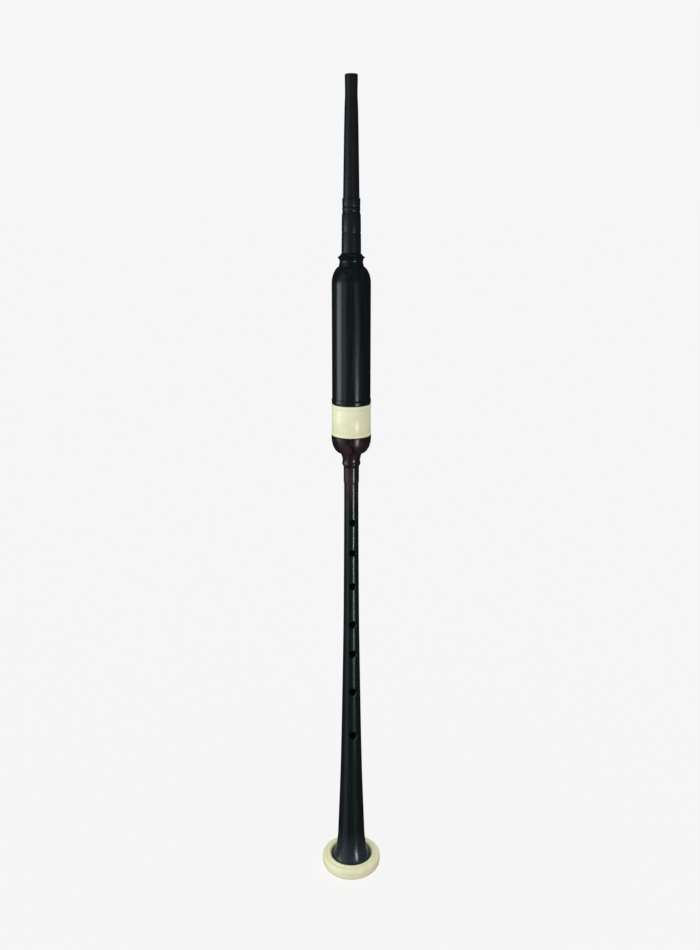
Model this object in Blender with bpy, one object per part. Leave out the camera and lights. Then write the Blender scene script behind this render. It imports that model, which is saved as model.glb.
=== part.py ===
"""A long practice chanter: the quiet pipe, blown by mouth, on which bagpipe fingering is learnt.

It stands upright on its sole with +Z up, in metres. The origin is the centre of the sole's underside, every
turned piece shares the Z axis, and the finger holes face -Y. Outlines are (radius, height) pairs, with each
height counted from the seat that carries the piece.
"""

import math

import bmesh
import bpy

MM = 0.001

# Fits between pieces
SEAT_GAP = 0.3 * MM  # between faces that rest on each other or are glued
SLIDE_GAP = 0.3 * MM  # between a lapped tenon and its socket

# Faces round the turned pieces and along their curves
WIDE_SIDES = 32
SLIM_SIDES = 28
REED_SIDES = 24
CORNER_STEPS = 3
BEAD_STEPS = 6
SHARP_ANGLE = math.radians(35)  # edges that bend more than this are drawn sharp

# Sole: the broad ring under the bell
SOLE_RADIUS = 19.7 * MM
SOLE_HEIGHT = 8.1 * MM
SOLE_FOOT_INSET = 3.6 * MM  # of the flat underside, in from the widest part
SOLE_FOOT_RISE = 4.4 * MM  # of the rounding up from the underside
SOLE_TOP_ROUNDING = 2.0 * MM
SOLE_TOP_TURN = 80  # degrees of the upper rounding left outside the bead
SOLE_BEAD_RADIUS = 1.4 * MM
SOLE_BEAD_RISE = 0.8 * MM
SOLE_BEAD_START = 25  # degrees above level at which the bead leaves the sole's top
SOLE_DISH_DEPTH = 1.2 * MM
SOLE_DISH_SLOPE = 1.8 * MM
SOLE_SEAT_DEPTH = 2.4 * MM

# Chanter body: bell and stem
BODY_HEIGHT = 304.2 * MM  # from the ground to the shoulder under the chamber
SPIGOT_RADIUS = 11.6 * MM
SPIGOT_RECESS = 1.5 * MM
BELL_EDGE_RADIUS = 13.5 * MM
BELL_EDGE_HEIGHT = 1.0 * MM
BELL_EDGE_ROUNDING = 0.3 * MM
BELL_EDGE_TURN = 60  # degrees of the upper rounding below the flare
BELL_FLARE_REACH = 6.9 * MM  # the height in which the flare falls to about a third
BELL_THROAT_RADIUS = 9.05 * MM
BELL_THROAT_HEIGHT = 24.0 * MM
STEM_FOOT_RADIUS = 7.2 * MM
STEM_FOOT_HEIGHT = 75.0 * MM
STEM_WAIST_RADIUS = 6.05 * MM
STEM_WAIST_HEIGHT = 129.0 * MM
STEM_MIDDLE_RADIUS = 5.12 * MM
STEM_MIDDLE_HEIGHT = 190.0 * MM
STEM_TOP_RADIUS = 4.7 * MM
STEM_TOP_DROP = 33.0 * MM  # below the shoulder
FLARE_STEPS = 8
FLARE_CROWDING = 1.5  # above 1 the steps crowd towards the edge, where the flare bends most
STEM_STEPS = 4

# Chanter body: the turned collar and the bulb above the stem
COLLAR_RADIUS = 5.02 * MM
COLLAR_HEIGHT = 10.5 * MM
RING_RADIUS = 6.0 * MM
RING_EDGE_RADIUS = 5.67 * MM
RING_HEIGHT = 2.4 * MM
RING_COVE_HEIGHT = 1.2 * MM  # between the collar and the ring
NECK_RADIUS = 5.75 * MM
NECK_HEIGHT = 3.4 * MM
BULB_FOOT_RADIUS = 6.25 * MM
BULB_RADIUS = 12.85 * MM
BULB_HEIGHT = 13.9 * MM
BULB_COVE_HEIGHT = 2.2 * MM
BULB_COVE_RADIUS = 6.7 * MM
BULB_LAND_HEIGHT = 1.2 * MM
BULB_STEPS = 9

# Bore and holes of the chanter body
BORE_RADIUS = 2.25 * MM
BORE_MOUTH_RADIUS = 5.0 * MM
BORE_MOUTH_DEPTH = 8.0 * MM
REED_SEAT_RADIUS = 3.4 * MM
REED_SEAT_DEPTH = 14.0 * MM
TOP_HOLE_DROP = 58.2 * MM  # from the shoulder down to the highest front hole
HOLE_SPACINGS = (20.6 * MM, 22.9 * MM, 26.4 * MM, 20.4 * MM, 26.8 * MM, 30.8 * MM)
TOP_HOLE_RADIUS = 2.0 * MM
LOW_HOLE_RADIUS = 2.6 * MM
THUMB_HOLE_RISE = 15.3 * MM  # above the highest front hole, at the back
THUMB_HOLE_RADIUS = 2.0 * MM
HOLE_OVERCUT = 0.6 * MM  # how far each hole's drill passes the axis, short of the far wall
HOLE_SIDES = 16

# Tenon of the chanter body and its lapping
TENON_LENGTH = 22.0 * MM
TENON_CORE_RADIUS = 6.9 * MM
TENON_LIP_HEIGHT = 1.5 * MM
TENON_LIP_SINK = 0.15 * MM  # of a tenon's lips below the surface of its lapping
LAPPING_THICKNESS = 1.3 * MM

# Reed chamber with its imitation ivory ferrule
CHAMBER_RADIUS = 12.5 * MM
CHAMBER_HEIGHT = 115.2 * MM  # from the shoulder under it to the edge of its lip
CHAMBER_BORE_RADIUS = 8.0 * MM
CHAMBER_CEILING_DROP = 22.0 * MM
CEILING_DOME_HEIGHT = 3.0 * MM
CHAMBER_BEAD_RISE = 0.22 * MM
CHAMBER_BEAD_HEIGHT = 3.4 * MM
CHAMBER_BEAD_SLOPE = 1.1 * MM  # the height of each of its two slopes
CHAMBER_SHOULDER_HEIGHT = 11.5 * MM
CHAMBER_SHOULDER_DEPTH = 6.8 * MM
CHAMBER_NECK_RADIUS = 7.4 * MM
CHAMBER_NECK_STEP = 0.6 * MM
CHAMBER_NECK_DROP = 3.0 * MM
CHAMBER_NECK_HEIGHT = 2.9 * MM
LIP_RADIUS = 8.95 * MM
LIP_CONE_HEIGHT = 2.4 * MM
LIP_MOUTH_RADIUS = 6.35 * MM
SHOULDER_STEPS = 8
COVE_STEPS = 4
DOME_STEPS = 3
SOCKET_CLEARANCE_ABOVE_TENON = 0.8 * MM
FERRULE_RADIUS = 12.75 * MM
FERRULE_HEIGHT = 20.5 * MM
FERRULE_WALL = 1.9 * MM
FERRULE_BEAD_HEIGHT = 2.2 * MM
FERRULE_BEAD_SLOPE = 0.55 * MM
FERRULE_EDGE = 0.25 * MM  # taken off the radius at each end
FERRULE_RECESS = 0.2 * MM

# Mouthpiece: the barrel that plugs into the chamber, and its tip
MOUTHPIECE_BORE_RADIUS = 2.0 * MM
AIR_HOLE_RADIUS = 2.25 * MM
BARREL_FOOT_RADIUS = 6.25 * MM
BARREL_WAIST_RADIUS = 6.0 * MM
BARREL_HEAD_RADIUS = 5.72 * MM
BARREL_LOWER_HEIGHT = 24.6 * MM  # up to the small step
BARREL_HEAD_HEIGHT = 10.0 * MM
BARREL_CHAMFER = 0.5 * MM
GROOVE_DEPTH = 0.16 * MM
GROOVE_WIDTH = 1.2 * MM
BARREL_GROOVE_HEIGHT = 13.0 * MM
HEAD_GROOVE_HEIGHTS = (26.3 * MM, 29.4 * MM)
BARREL_TENON_LENGTH = 15.5 * MM
BARREL_TENON_RADIUS = 5.0 * MM
BARREL_LAPPING_THICKNESS = 0.9 * MM
BARREL_TENON_LIP = 1.2 * MM
TIP_LENGTH = 75.7 * MM
TIP_FOOT_RADIUS = 5.2 * MM
TIP_NECK_RADIUS = 3.92 * MM
TIP_NECK_DROP = 11.2 * MM
TIP_TAPER_RADIUS = 4.26 * MM
TIP_TAPER_DROP = 21.0 * MM
TIP_BEAD_RADIUS = 4.06 * MM
TIP_BEAD_DROP = 3.6 * MM
TIP_ROUNDING = 0.8 * MM
TIP_TENON_RADIUS = 3.6 * MM
TIP_TENON_LENGTH = 10.0 * MM
TIP_STEPS = 4

# Reed
STAPLE_LENGTH = 33.5 * MM
STAPLE_FOOT_RADIUS = 2.05 * MM
STAPLE_HEAD_RADIUS = 2.3 * MM
STAPLE_WALL = 0.4 * MM
SEAT_LAPPING_LENGTH = 11.5 * MM
BLADE_FOOT_HEIGHT = 24.5 * MM  # above the staple's foot
BLADE_LENGTH = 35.0 * MM
BLADE_FOOT_WIDTH = 6.8 * MM
BLADE_LIP_WIDTH = 9.6 * MM
BLADE_LIP_ARCH = 0.45 * MM
BLADE_THICKNESS = 0.5 * MM
BLADE_STAPLE_SPARE = 0.05 * MM  # more room over the staple than a seat has
BLADE_ROWS = 12
BLADE_COLUMNS = 10
BINDING_LENGTH = 7.0 * MM
BINDING_THICKNESS = 0.6 * MM
BINDING_RISE = 1.0 * MM  # of the binding's lower end above the blades' foot
BRIDLE_RISE = 13.0 * MM  # of the bridle above the blades' foot
BRIDLE_TRAVEL = 3.0 * MM
BRIDLE_CORD_RADIUS = 0.6 * MM
BRIDLE_CORD_SIDES = 8

# Sizes that follow from those above
SOLE_BORE_RADIUS = SPIGOT_RADIUS + SEAT_GAP
SOLE_SEAT_HEIGHT = SOLE_HEIGHT - SOLE_SEAT_DEPTH
BELL_EDGE_FOOT = SOLE_SEAT_HEIGHT + SEAT_GAP
BELL_EDGE_TOP = BELL_EDGE_FOOT + BELL_EDGE_HEIGHT
TENON_RADIUS = TENON_CORE_RADIUS + SEAT_GAP + LAPPING_THICKNESS
TENON_LIP_RADIUS = TENON_RADIUS - TENON_LIP_SINK
SOCKET_RADIUS = TENON_RADIUS + SLIDE_GAP
SOCKET_DEPTH = TENON_LENGTH + SOCKET_CLEARANCE_ABOVE_TENON
FERRULE_BORE_RADIUS = FERRULE_RADIUS - FERRULE_WALL
CHAMBER_SPIGOT_RADIUS = FERRULE_BORE_RADIUS - SEAT_GAP
CHAMBER_BEAD_FOOT = 2 * SEAT_GAP + FERRULE_HEIGHT
CHAMBER_TOP = CHAMBER_HEIGHT + LIP_CONE_HEIGHT
CHAMBER_CEILING = CHAMBER_HEIGHT - CHAMBER_CEILING_DROP
BARREL_SOCKET_RADIUS = BARREL_TENON_RADIUS + SLIDE_GAP
BARREL_SOCKET_DEPTH = BARREL_TENON_LENGTH + SEAT_GAP
BARREL_CORE_RADIUS = BARREL_TENON_RADIUS - BARREL_LAPPING_THICKNESS - SEAT_GAP
BARREL_LIP_RADIUS = BARREL_TENON_RADIUS - TENON_LIP_SINK
BARREL_HEIGHT = BARREL_LOWER_HEIGHT + BARREL_HEAD_HEIGHT
TIP_SOCKET_RADIUS = TIP_TENON_RADIUS + SLIDE_GAP
TIP_SOCKET_DEPTH = TIP_TENON_LENGTH + SEAT_GAP
SEAT_LAPPING_RADIUS = REED_SEAT_RADIUS - SLIDE_GAP
REED_FOOT = TENON_LENGTH - REED_SEAT_DEPTH + SEAT_GAP
BLADE_GAP = SEAT_GAP
BLADE_FOOT_ARCH = STAPLE_HEAD_RADIUS + SEAT_GAP + BLADE_STAPLE_SPARE - BLADE_GAP / 2


def linear(hex_colour):
    """The linear value of an sRGB colour written as six hex digits."""
    channels = [int(hex_colour[i : i + 2], 16) / 255 for i in (0, 2, 4)]
    return [c / 12.92 if c <= 0.04045 else ((c + 0.055) / 1.055) ** 2.4 for c in channels] + [1.0]


def material(name, hex_colour, roughness, metallic=0.0):
    made = bpy.data.materials.new(name)
    made.use_nodes = True
    made.diffuse_color = linear(hex_colour)
    shader = made.node_tree.nodes["Principled BSDF"]
    shader.inputs["Base Color"].default_value = linear(hex_colour)
    shader.inputs["Roughness"].default_value = roughness
    shader.inputs["Metallic"].default_value = metallic
    return made


def blackwood(name):
    return material(name, "15181b", 0.22)


def black_plastic(name):
    return material(name, "14181c", 0.35)


def imitation_ivory(name):
    return material(name, "e4e4ca", 0.3)


def hemp(name):
    return material(name, "b58a3e", 0.85)


def clear_scene():
    for obj in list(bpy.data.objects):
        bpy.data.objects.remove(obj, do_unlink=True)


def seat(name, height, parent=None):
    """An empty on the axis, at the height where a joint's pieces rest."""
    empty = bpy.data.objects.new(name, None)
    bpy.context.scene.collection.objects.link(empty)
    empty.empty_display_size = CHAMBER_RADIUS
    empty.parent = parent
    empty.location.z = height
    return empty


def add_object(name, mesh, parent, finish):
    mesh.shade_smooth()
    mesh.set_sharp_from_angle(angle=SHARP_ANGLE)
    obj = bpy.data.objects.new(name, mesh)
    bpy.context.scene.collection.objects.link(obj)
    obj.parent = parent
    if finish is not None:
        mesh.materials.append(finish)
    return obj


def turned(name, outline, parent, finish, sides, stretch=(1.0, 1.0)):
    """A closed outline of (radius, height) pairs spun about Z. A stretch makes the round oval."""
    bm = bmesh.new()
    ring = [bm.verts.new((radius, 0, height)) for radius, height in outline]
    edges = [bm.edges.new((ring[i - 1], ring[i])) for i in range(len(ring))]
    bmesh.ops.spin(
        bm,
        geom=ring + edges,
        cent=(0, 0, 0),
        axis=(0, 0, 1),
        angle=2 * math.pi,
        steps=sides,
        use_merge=True,
    )
    bmesh.ops.scale(bm, vec=(stretch[0], stretch[1], 1), verts=bm.verts)
    bmesh.ops.recalc_face_normals(bm, faces=bm.faces)
    mesh = bpy.data.meshes.new(name)
    bm.to_mesh(mesh)
    bm.free()
    return add_object(name, mesh, parent, finish)


def arc(centre, reach, start, end, steps=CORNER_STEPS, rise=None):
    """Points round a centre from one direction to another, in degrees: 0 points outwards and 90 up.

    The curve is a circle of radius reach, or an ellipse of that half-width where a rise is given for its
    half-height.
    """
    rise = reach if rise is None else rise
    angles = [math.radians(start + (end - start) * i / steps) for i in range(steps + 1)]
    return [(centre[0] + reach * math.cos(a), centre[1] + rise * math.sin(a)) for a in angles]


def smooth_run(stations, steps):
    """A curve up through (radius, height) stations that never swells past them between two of them."""
    slopes = [
        (upper[0] - lower[0]) / (upper[1] - lower[1]) for lower, upper in zip(stations, stations[1:])
    ]
    tangents = [slopes[0]]
    for below, above in zip(slopes, slopes[1:]):
        same_way = below * above > 0
        tangents.append(2 * below * above / (below + above) if same_way else 0.0)
    tangents.append(slopes[-1])
    points = []
    for i, (lower, upper) in enumerate(zip(stations, stations[1:])):
        span = upper[1] - lower[1]
        for step in range(steps):
            t = step / steps
            radius = (
                lower[0] * (1 + 2 * t) * (1 - t) ** 2
                + upper[0] * t * t * (3 - 2 * t)
                + span * tangents[i] * t * (1 - t) ** 2
                - span * tangents[i + 1] * t * t * (1 - t)
            )
            points.append((radius, lower[1] + t * span))
    return points + [stations[-1]]


def ease(t):
    """Goes from 0 to 1 with level ends."""
    return t * t * (3 - 2 * t)


def sole_outline():
    """A flat underside dished towards the bore, a rounded side, a bead on top, and the bell's seat."""
    seat_radius = BELL_EDGE_RADIUS + SEAT_GAP
    bead_centre = (seat_radius + SOLE_BEAD_RADIUS, SOLE_HEIGHT + SOLE_BEAD_RISE - SOLE_BEAD_RADIUS)
    foot = (SOLE_RADIUS - SOLE_FOOT_INSET, SOLE_FOOT_RISE)
    top = (SOLE_RADIUS - SOLE_TOP_ROUNDING, SOLE_HEIGHT - SOLE_TOP_ROUNDING)
    return (
        [(SOLE_BORE_RADIUS, SOLE_DISH_DEPTH), (SOLE_BORE_RADIUS + SOLE_DISH_SLOPE, 0)]
        + arc(foot, SOLE_FOOT_INSET, -90, 0, CORNER_STEPS + 1, SOLE_FOOT_RISE)
        + arc(top, SOLE_TOP_ROUNDING, 0, SOLE_TOP_TURN, CORNER_STEPS + 1)
        + arc(bead_centre, SOLE_BEAD_RADIUS, SOLE_BEAD_START, 180, BEAD_STEPS)
        + [(seat_radius, SOLE_SEAT_HEIGHT), (SOLE_BORE_RADIUS, SOLE_SEAT_HEIGHT)]
    )


def bell_and_stem():
    """The outer side from the top of the bell's edge to the foot of the collar."""
    stem = smooth_run(
        [
            (BELL_THROAT_RADIUS, BELL_THROAT_HEIGHT),
            (STEM_FOOT_RADIUS, STEM_FOOT_HEIGHT),
            (STEM_WAIST_RADIUS, STEM_WAIST_HEIGHT),
            (STEM_MIDDLE_RADIUS, STEM_MIDDLE_HEIGHT),
            (STEM_TOP_RADIUS, BODY_HEIGHT - STEM_TOP_DROP),
        ],
        STEM_STEPS,
    )
    edge = BELL_EDGE_RADIUS - BELL_EDGE_ROUNDING
    span = BELL_THROAT_HEIGHT - BELL_EDGE_TOP
    rest = math.exp(-span / BELL_FLARE_REACH)
    flare = []
    for step in range(FLARE_STEPS):
        rise = span * (step / FLARE_STEPS) ** FLARE_CROWDING
        share = (math.exp(-rise / BELL_FLARE_REACH) - rest) / (1 - rest)
        flare.append((BELL_THROAT_RADIUS + (edge - BELL_THROAT_RADIUS) * share, BELL_EDGE_TOP + rise))
    return flare + stem


def collar_and_bulb():
    """The outer side from the collar above the stem to the shoulder that carries the chamber."""
    bulb_foot = BODY_HEIGHT - BULB_HEIGHT
    ring_top = bulb_foot - NECK_HEIGHT
    ring_foot = ring_top - RING_HEIGHT
    collar_top = ring_foot - RING_COVE_HEIGHT
    bowl_foot = bulb_foot + BULB_COVE_HEIGHT
    bowl_top = BODY_HEIGHT - BULB_LAND_HEIGHT
    bowl_reach = BULB_RADIUS - BULB_COVE_RADIUS
    return (
        [
            (COLLAR_RADIUS, collar_top - COLLAR_HEIGHT),
            (COLLAR_RADIUS, collar_top),
            (RING_EDGE_RADIUS, ring_foot),
            (RING_RADIUS, (ring_foot + ring_top) / 2),
            (NECK_RADIUS, ring_top),
            (BULB_FOOT_RADIUS, bulb_foot),
        ]
        + arc((BULB_COVE_RADIUS, bowl_top), bowl_reach, -90, 0, BULB_STEPS, bowl_top - bowl_foot)
        + [(BULB_RADIUS, BODY_HEIGHT)]
    )


def chanter_body_outline():
    """The whole body from the spigot in the sole up to the tenon, and back down the bore."""
    tenon_top = BODY_HEIGHT + TENON_LENGTH
    edge = BELL_EDGE_RADIUS - BELL_EDGE_ROUNDING
    edge_low = (edge, BELL_EDGE_FOOT + BELL_EDGE_ROUNDING)
    edge_high = (edge, BELL_EDGE_TOP - BELL_EDGE_ROUNDING)
    return (
        [
            (BORE_MOUTH_RADIUS, SPIGOT_RECESS),
            (SPIGOT_RADIUS, SPIGOT_RECESS),
            (SPIGOT_RADIUS, BELL_EDGE_FOOT),
        ]
        + arc(edge_low, BELL_EDGE_ROUNDING, -90, 0)
        + arc(edge_high, BELL_EDGE_ROUNDING, 0, BELL_EDGE_TURN)
        + bell_and_stem()
        + collar_and_bulb()
        + [
            (TENON_LIP_RADIUS, BODY_HEIGHT),
            (TENON_LIP_RADIUS, BODY_HEIGHT + TENON_LIP_HEIGHT),
            (TENON_CORE_RADIUS, BODY_HEIGHT + TENON_LIP_HEIGHT),
            (TENON_CORE_RADIUS, tenon_top - TENON_LIP_HEIGHT),
            (TENON_LIP_RADIUS, tenon_top - TENON_LIP_HEIGHT),
            (TENON_LIP_RADIUS, tenon_top),
            (REED_SEAT_RADIUS, tenon_top),
            (REED_SEAT_RADIUS, tenon_top - REED_SEAT_DEPTH),
            (BORE_RADIUS, tenon_top - REED_SEAT_DEPTH),
            (BORE_RADIUS, SPIGOT_RECESS + BORE_MOUTH_DEPTH),
        ]
    )


def drill(body, name, height, radius, towards):
    """Cuts a round hole from the bore out through one side of the body, where towards is -1 for the front.

    The cutter is turned by half a side, so that none of its edges runs along one of the body's.
    """
    bm = bmesh.new()
    length = BULB_RADIUS + HOLE_OVERCUT
    bmesh.ops.create_cone(
        bm, cap_ends=True, segments=HOLE_SIDES, radius1=radius, radius2=radius, depth=length
    )
    mesh = bpy.data.meshes.new(name)
    bm.to_mesh(mesh)
    bm.free()
    cutter = add_object(name, mesh, None, None)
    cutter.rotation_euler = (math.pi / 2, math.pi / HOLE_SIDES, 0)
    cutter.location = (0, towards * (length / 2 - HOLE_OVERCUT), height)
    cutter.hide_render = True
    cutter.display_type = "WIRE"
    cut = body.modifiers.new(name, "BOOLEAN")
    cut.operation = "DIFFERENCE"
    cut.solver = "EXACT"
    cut.object = cutter


def drill_holes(body):
    height = BODY_HEIGHT - TOP_HOLE_DROP
    drill(body, "thumb_hole_cutter", height + THUMB_HOLE_RISE, THUMB_HOLE_RADIUS, 1)
    drops = (0.0, *HOLE_SPACINGS)
    for i, drop in enumerate(drops):
        height -= drop
        radius = TOP_HOLE_RADIUS + (LOW_HOLE_RADIUS - TOP_HOLE_RADIUS) * i / (len(drops) - 1)
        drill(body, f"finger_hole_cutter_{i + 1}", height, radius, -1)


def make_chanter():
    body = turned("chanter_body", chanter_body_outline(), None, blackwood("chanter_blackwood"), WIDE_SIDES)
    drill_holes(body)
    turned("sole", sole_outline(), body, imitation_ivory("sole_imitation_ivory"), WIDE_SIDES)
    return body


def sleeve(inner_radius, outer_radius, foot, top):
    """The outline of a plain tube."""
    return [(inner_radius, foot), (outer_radius, foot), (outer_radius, top), (inner_radius, top)]


def make_tenon_lapping(joint):
    foot = TENON_LIP_HEIGHT + SEAT_GAP
    top = TENON_LENGTH - TENON_LIP_HEIGHT - SEAT_GAP
    outline = sleeve(TENON_CORE_RADIUS + SEAT_GAP, TENON_RADIUS, foot, top)
    turned("chanter_tenon_lapping", outline, joint, hemp("tenon_hemp"), SLIM_SIDES)


def ferrule_outline():
    """A ring with a low bead at each end and a slightly sunk middle."""
    foot = SEAT_GAP
    top = foot + FERRULE_HEIGHT
    middle = FERRULE_RADIUS - FERRULE_RECESS
    return [
        (FERRULE_BORE_RADIUS, foot),
        (FERRULE_RADIUS - FERRULE_EDGE, foot),
        (FERRULE_RADIUS, foot + FERRULE_BEAD_SLOPE),
        (FERRULE_RADIUS, foot + FERRULE_BEAD_HEIGHT - FERRULE_BEAD_SLOPE),
        (middle, foot + FERRULE_BEAD_HEIGHT),
        (middle, top - FERRULE_BEAD_HEIGHT),
        (FERRULE_RADIUS, top - FERRULE_BEAD_HEIGHT + FERRULE_BEAD_SLOPE),
        (FERRULE_RADIUS, top - FERRULE_BEAD_SLOPE),
        (FERRULE_RADIUS - FERRULE_EDGE, top),
        (FERRULE_BORE_RADIUS, top),
    ]


def chamber_shoulder():
    """The rounded shoulder from the wall in to the neck, the cove under the lip, and the lip's cone."""
    neck = CHAMBER_HEIGHT - CHAMBER_NECK_DROP
    narrowing = CHAMBER_RADIUS - CHAMBER_NECK_RADIUS - CHAMBER_NECK_STEP
    last_angle = math.acos(1 - narrowing / CHAMBER_SHOULDER_DEPTH)
    shoulder_foot = neck - CHAMBER_NECK_HEIGHT - CHAMBER_SHOULDER_HEIGHT * math.sin(last_angle)
    centre = (CHAMBER_RADIUS - CHAMBER_SHOULDER_DEPTH, shoulder_foot)
    turn = math.degrees(last_angle)
    shares = [step / COVE_STEPS for step in range(COVE_STEPS + 1)]
    cove = LIP_RADIUS - CHAMBER_NECK_RADIUS
    cone = LIP_RADIUS - LIP_MOUTH_RADIUS
    return (
        arc(centre, CHAMBER_SHOULDER_DEPTH, 0, turn, SHOULDER_STEPS, CHAMBER_SHOULDER_HEIGHT)
        + [(CHAMBER_NECK_RADIUS + cove * t * t, neck + CHAMBER_NECK_DROP * t) for t in shares]
        + [(LIP_RADIUS - cone * math.sqrt(t), CHAMBER_HEIGHT + LIP_CONE_HEIGHT * t) for t in shares[1:]]
    )


def chamber_outline():
    """The spigot in the ferrule, the wall with a low bead at its foot, the shoulder, and the hollows."""
    bead_foot = CHAMBER_BEAD_FOOT
    bead_top = bead_foot + CHAMBER_BEAD_HEIGHT
    bead_radius = CHAMBER_RADIUS + CHAMBER_BEAD_RISE
    dome_centre = (AIR_HOLE_RADIUS, CHAMBER_CEILING - CEILING_DOME_HEIGHT)
    dome_reach = CHAMBER_BORE_RADIUS - AIR_HOLE_RADIUS
    return (
        [
            (SOCKET_RADIUS, 2 * SEAT_GAP),
            (CHAMBER_SPIGOT_RADIUS, 2 * SEAT_GAP),
            (CHAMBER_SPIGOT_RADIUS, bead_foot),
            (CHAMBER_RADIUS, bead_foot),
            (bead_radius, bead_foot + CHAMBER_BEAD_SLOPE),
            (bead_radius, bead_top - CHAMBER_BEAD_SLOPE),
            (CHAMBER_RADIUS, bead_top),
        ]
        + chamber_shoulder()
        + [
            (BARREL_SOCKET_RADIUS, CHAMBER_TOP),
            (BARREL_SOCKET_RADIUS, CHAMBER_TOP - BARREL_SOCKET_DEPTH),
            (AIR_HOLE_RADIUS, CHAMBER_TOP - BARREL_SOCKET_DEPTH),
        ]
        + arc(dome_centre, dome_reach, 90, 0, DOME_STEPS, CEILING_DOME_HEIGHT)
        + [(CHAMBER_BORE_RADIUS, SOCKET_DEPTH), (SOCKET_RADIUS, SOCKET_DEPTH)]
    )


def make_chamber(joint):
    turned("reed_chamber", chamber_outline(), joint, blackwood("chamber_blackwood"), WIDE_SIDES)
    finish = imitation_ivory("ferrule_imitation_ivory")
    turned("chamber_ferrule", ferrule_outline(), joint, finish, WIDE_SIDES)


def groove(height, radius):
    """A shallow turned groove in a wall of this radius."""
    half = GROOVE_WIDTH / 2
    return [(radius, height - half), (radius - GROOVE_DEPTH, height), (radius, height + half)]


def barrel_outline():
    """The tenon with its two lips, the tapered lower part, the narrower head, and the tip's socket."""
    step_foot = BARREL_LOWER_HEIGHT
    top = BARREL_HEIGHT
    tenon_foot = -BARREL_TENON_LENGTH
    taper = (BARREL_WAIST_RADIUS - BARREL_FOOT_RADIUS) / BARREL_LOWER_HEIGHT
    groove_radius = BARREL_FOOT_RADIUS + taper * BARREL_GROOVE_HEIGHT
    return (
        [
            (MOUTHPIECE_BORE_RADIUS, tenon_foot),
            (BARREL_LIP_RADIUS, tenon_foot),
            (BARREL_LIP_RADIUS, tenon_foot + BARREL_TENON_LIP),
            (BARREL_CORE_RADIUS, tenon_foot + BARREL_TENON_LIP),
            (BARREL_CORE_RADIUS, -BARREL_TENON_LIP),
            (BARREL_LIP_RADIUS, -BARREL_TENON_LIP),
            (BARREL_LIP_RADIUS, SEAT_GAP),
            (BARREL_FOOT_RADIUS, SEAT_GAP),
        ]
        + groove(BARREL_GROOVE_HEIGHT, groove_radius)
        + [(BARREL_WAIST_RADIUS, step_foot - BARREL_CHAMFER), (BARREL_HEAD_RADIUS, step_foot)]
        + [point for height in HEAD_GROOVE_HEIGHTS for point in groove(height, BARREL_HEAD_RADIUS)]
        + [
            (BARREL_HEAD_RADIUS, top - 2 * BARREL_CHAMFER),
            (BARREL_HEAD_RADIUS - BARREL_CHAMFER, top),
            (TIP_SOCKET_RADIUS, top),
            (TIP_SOCKET_RADIUS, top - TIP_SOCKET_DEPTH),
            (MOUTHPIECE_BORE_RADIUS, top - TIP_SOCKET_DEPTH),
        ]
    )


def tip_outline():
    """The spigot in the barrel, and the long taper up to a waist and a beaded end."""
    foot = SEAT_GAP
    side = smooth_run(
        [
            (TIP_FOOT_RADIUS, foot),
            (TIP_TAPER_RADIUS, TIP_LENGTH - TIP_TAPER_DROP),
            (TIP_NECK_RADIUS, TIP_LENGTH - TIP_NECK_DROP),
            (TIP_BEAD_RADIUS, TIP_LENGTH - TIP_BEAD_DROP),
        ],
        TIP_STEPS,
    )
    rounding = (TIP_BEAD_RADIUS - TIP_ROUNDING, TIP_LENGTH - TIP_ROUNDING)
    return (
        [
            (MOUTHPIECE_BORE_RADIUS, -TIP_TENON_LENGTH),
            (TIP_TENON_RADIUS, -TIP_TENON_LENGTH),
            (TIP_TENON_RADIUS, foot),
        ]
        + side
        + arc(rounding, TIP_ROUNDING, 0, 90)
        + [(MOUTHPIECE_BORE_RADIUS, TIP_LENGTH)]
    )


def make_mouthpiece(joint):
    turned("mouthpiece_barrel", barrel_outline(), joint, black_plastic("barrel_plastic"), SLIM_SIDES)
    foot = SEAT_GAP + BARREL_TENON_LIP - BARREL_TENON_LENGTH
    top = -BARREL_TENON_LIP - SEAT_GAP
    lapping = sleeve(BARREL_CORE_RADIUS + SEAT_GAP, BARREL_TENON_RADIUS, foot, top)
    turned("mouthpiece_tenon_lapping", lapping, joint, hemp("mouthpiece_hemp"), SLIM_SIDES)
    tip_joint = seat("tip_joint", BARREL_HEIGHT, joint)
    turned("mouthpiece_tip", tip_outline(), tip_joint, black_plastic("tip_plastic"), SLIM_SIDES)


def staple_top():
    """The height of the staple's end above the blades' foot."""
    return STAPLE_LENGTH - BLADE_FOOT_HEIGHT


def blade_share(rise):
    """How far a height above the blades' foot is from the staple's end, 0, to the lips, 1."""
    return max(0.0, (rise - staple_top()) / (BLADE_LENGTH - staple_top()))


def blade_half_width(rise):
    return (BLADE_FOOT_WIDTH + (BLADE_LIP_WIDTH - BLADE_FOOT_WIDTH) * blade_share(rise)) / 2


def blade_arch(rise):
    return BLADE_FOOT_ARCH + (BLADE_LIP_ARCH - BLADE_FOOT_ARCH) * ease(blade_share(rise))


def blade_outer_half_width(rise):
    """Half the width over the outside of the blades, whose edges lean out by part of their thickness."""
    slope = 2 * blade_arch(rise) / blade_half_width(rise)
    return blade_half_width(rise) + BLADE_THICKNESS * slope / math.hypot(1, slope)


def blade_outer_height(rise):
    return BLADE_GAP / 2 + blade_arch(rise) + BLADE_THICKNESS


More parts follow.
